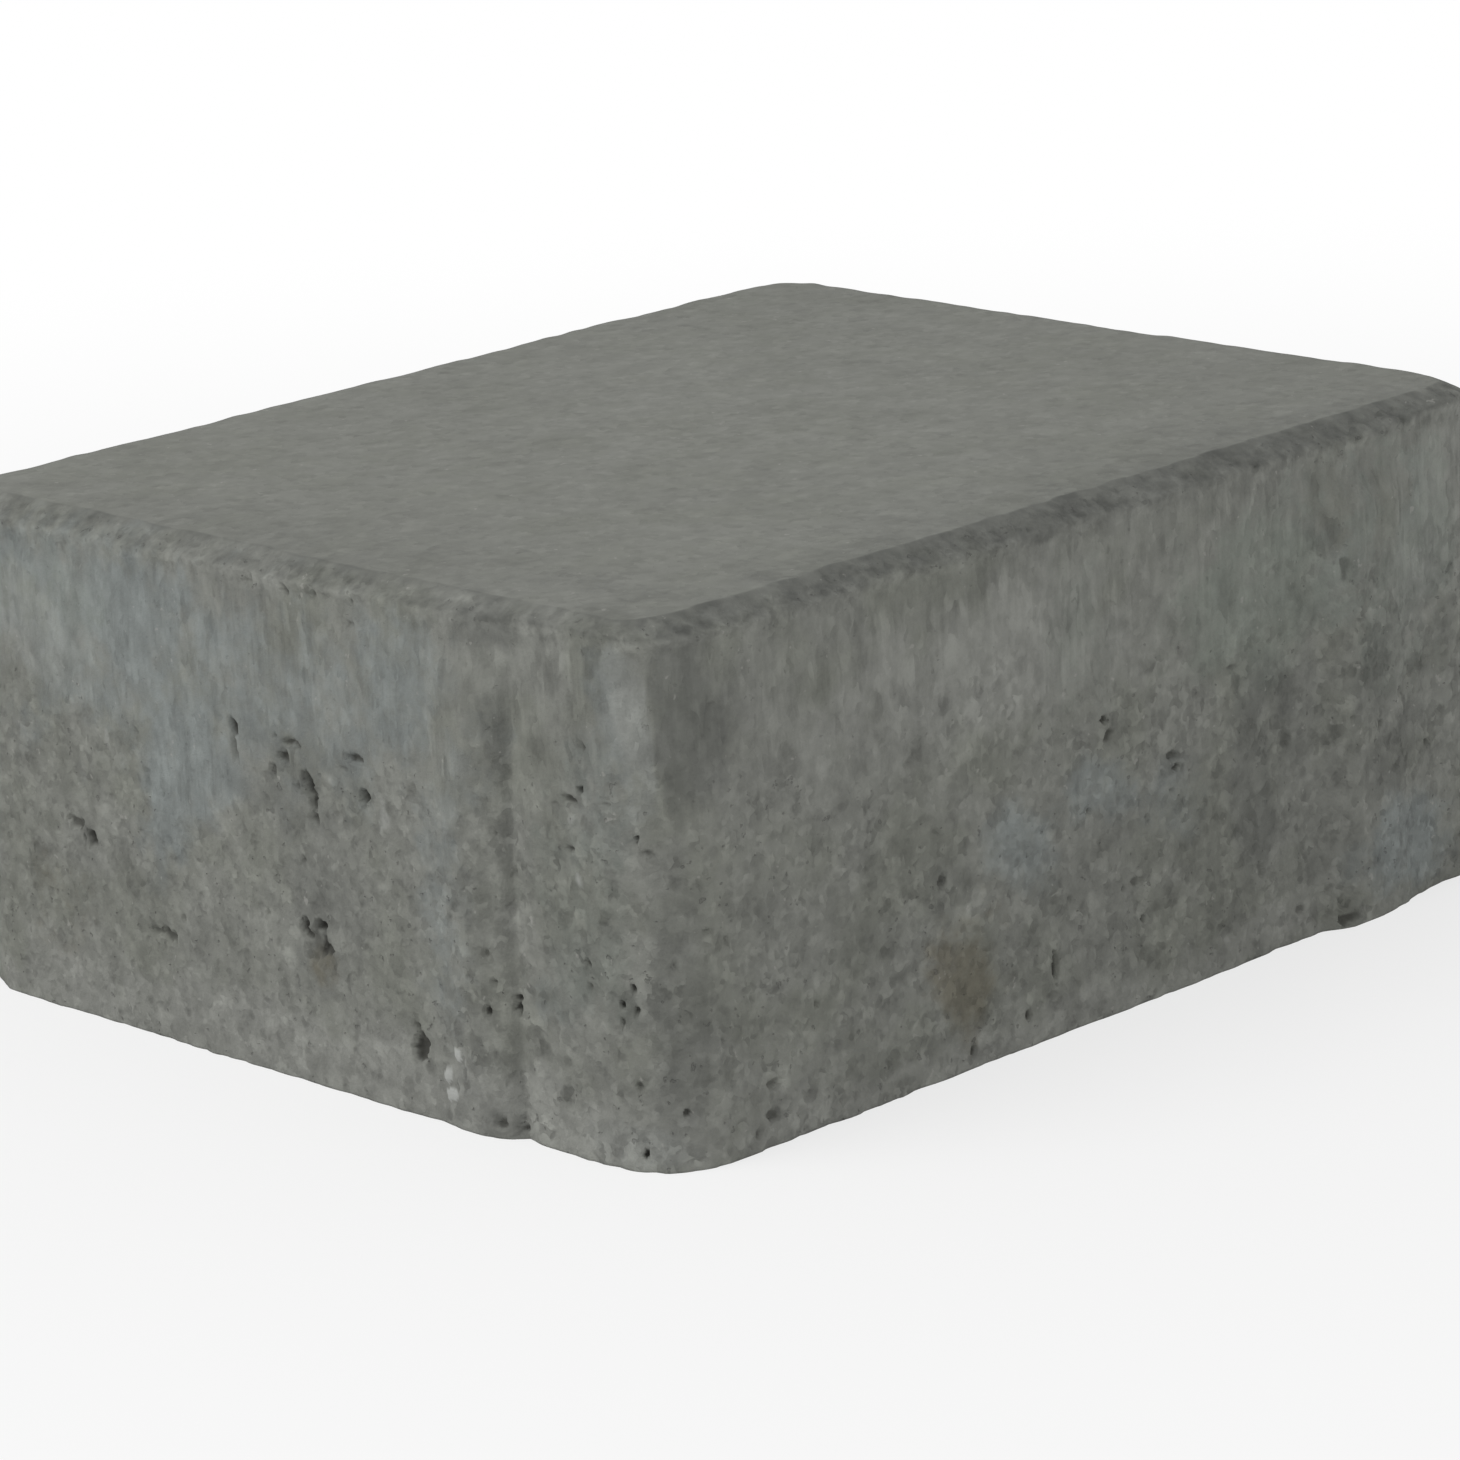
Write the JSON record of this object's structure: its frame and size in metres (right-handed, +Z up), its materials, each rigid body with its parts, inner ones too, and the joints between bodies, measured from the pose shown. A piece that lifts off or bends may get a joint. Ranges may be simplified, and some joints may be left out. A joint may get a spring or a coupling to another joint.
{
  "type": "concrete paving stone",
  "caption": "Solid rectangular concrete paving block, bevelled round its flat wearing face, with rounded corners and a spacer nib on each side wall.",
  "frame": {"origin": "centre of the bed face, the flat underside that the stone lies on", "axes": "+X along the stone's length, +Y along its width, +Z up to the bevelled wearing face"},
  "size_m": [0.1912, 0.1632, 0.08],
  "materials": {
    "concrete": "dry-cast grey concrete, matt, fine sandy grain with open pores on the side walls"
  },
  "bodies": {
    "root": {"paving_stone": "concrete"}
  },
  "joints": []
}
